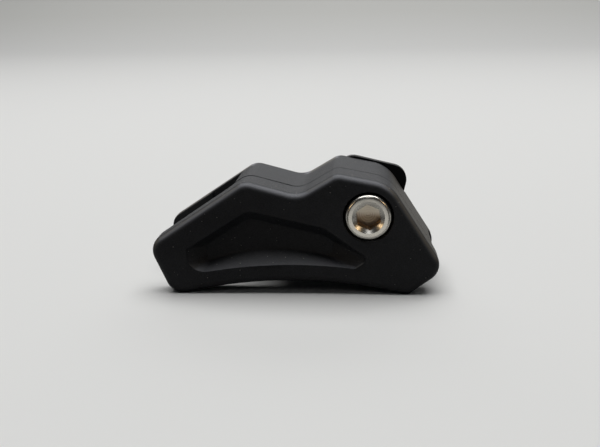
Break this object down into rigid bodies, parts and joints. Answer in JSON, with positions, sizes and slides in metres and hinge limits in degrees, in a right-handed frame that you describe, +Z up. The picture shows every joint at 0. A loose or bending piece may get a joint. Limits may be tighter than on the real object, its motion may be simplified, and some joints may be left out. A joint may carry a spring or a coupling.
{
  "type": "chain guide",
  "caption": "Moulded chain guide: crested side walls joined by a roof over the chain channel, a recessed outer face, and a socket screw that clamps its halves.",
  "frame": {"origin": "bottom centre of the whole guide: middle of its length and of its depth, at the height of the feet", "axes": "+X along the chain, towards the end with the screw; +Y away from the outer face, towards the nut's flange; +Z up"},
  "size_m": [0.0632, 0.0262, 0.0269],
  "materials": {
    "cage": "fine-grained matte moulding, dark grey",
    "screw": "turned stainless steel, bright, with a warm tone in the socket",
    "nut": "black anodised, satin"
  },
  "bodies": {
    "root": {"outer_cage": "cage", "inner_cage": "cage", "clamp_screw": "screw", "clamp_nut": "nut"}
  },
  "joints": []
}
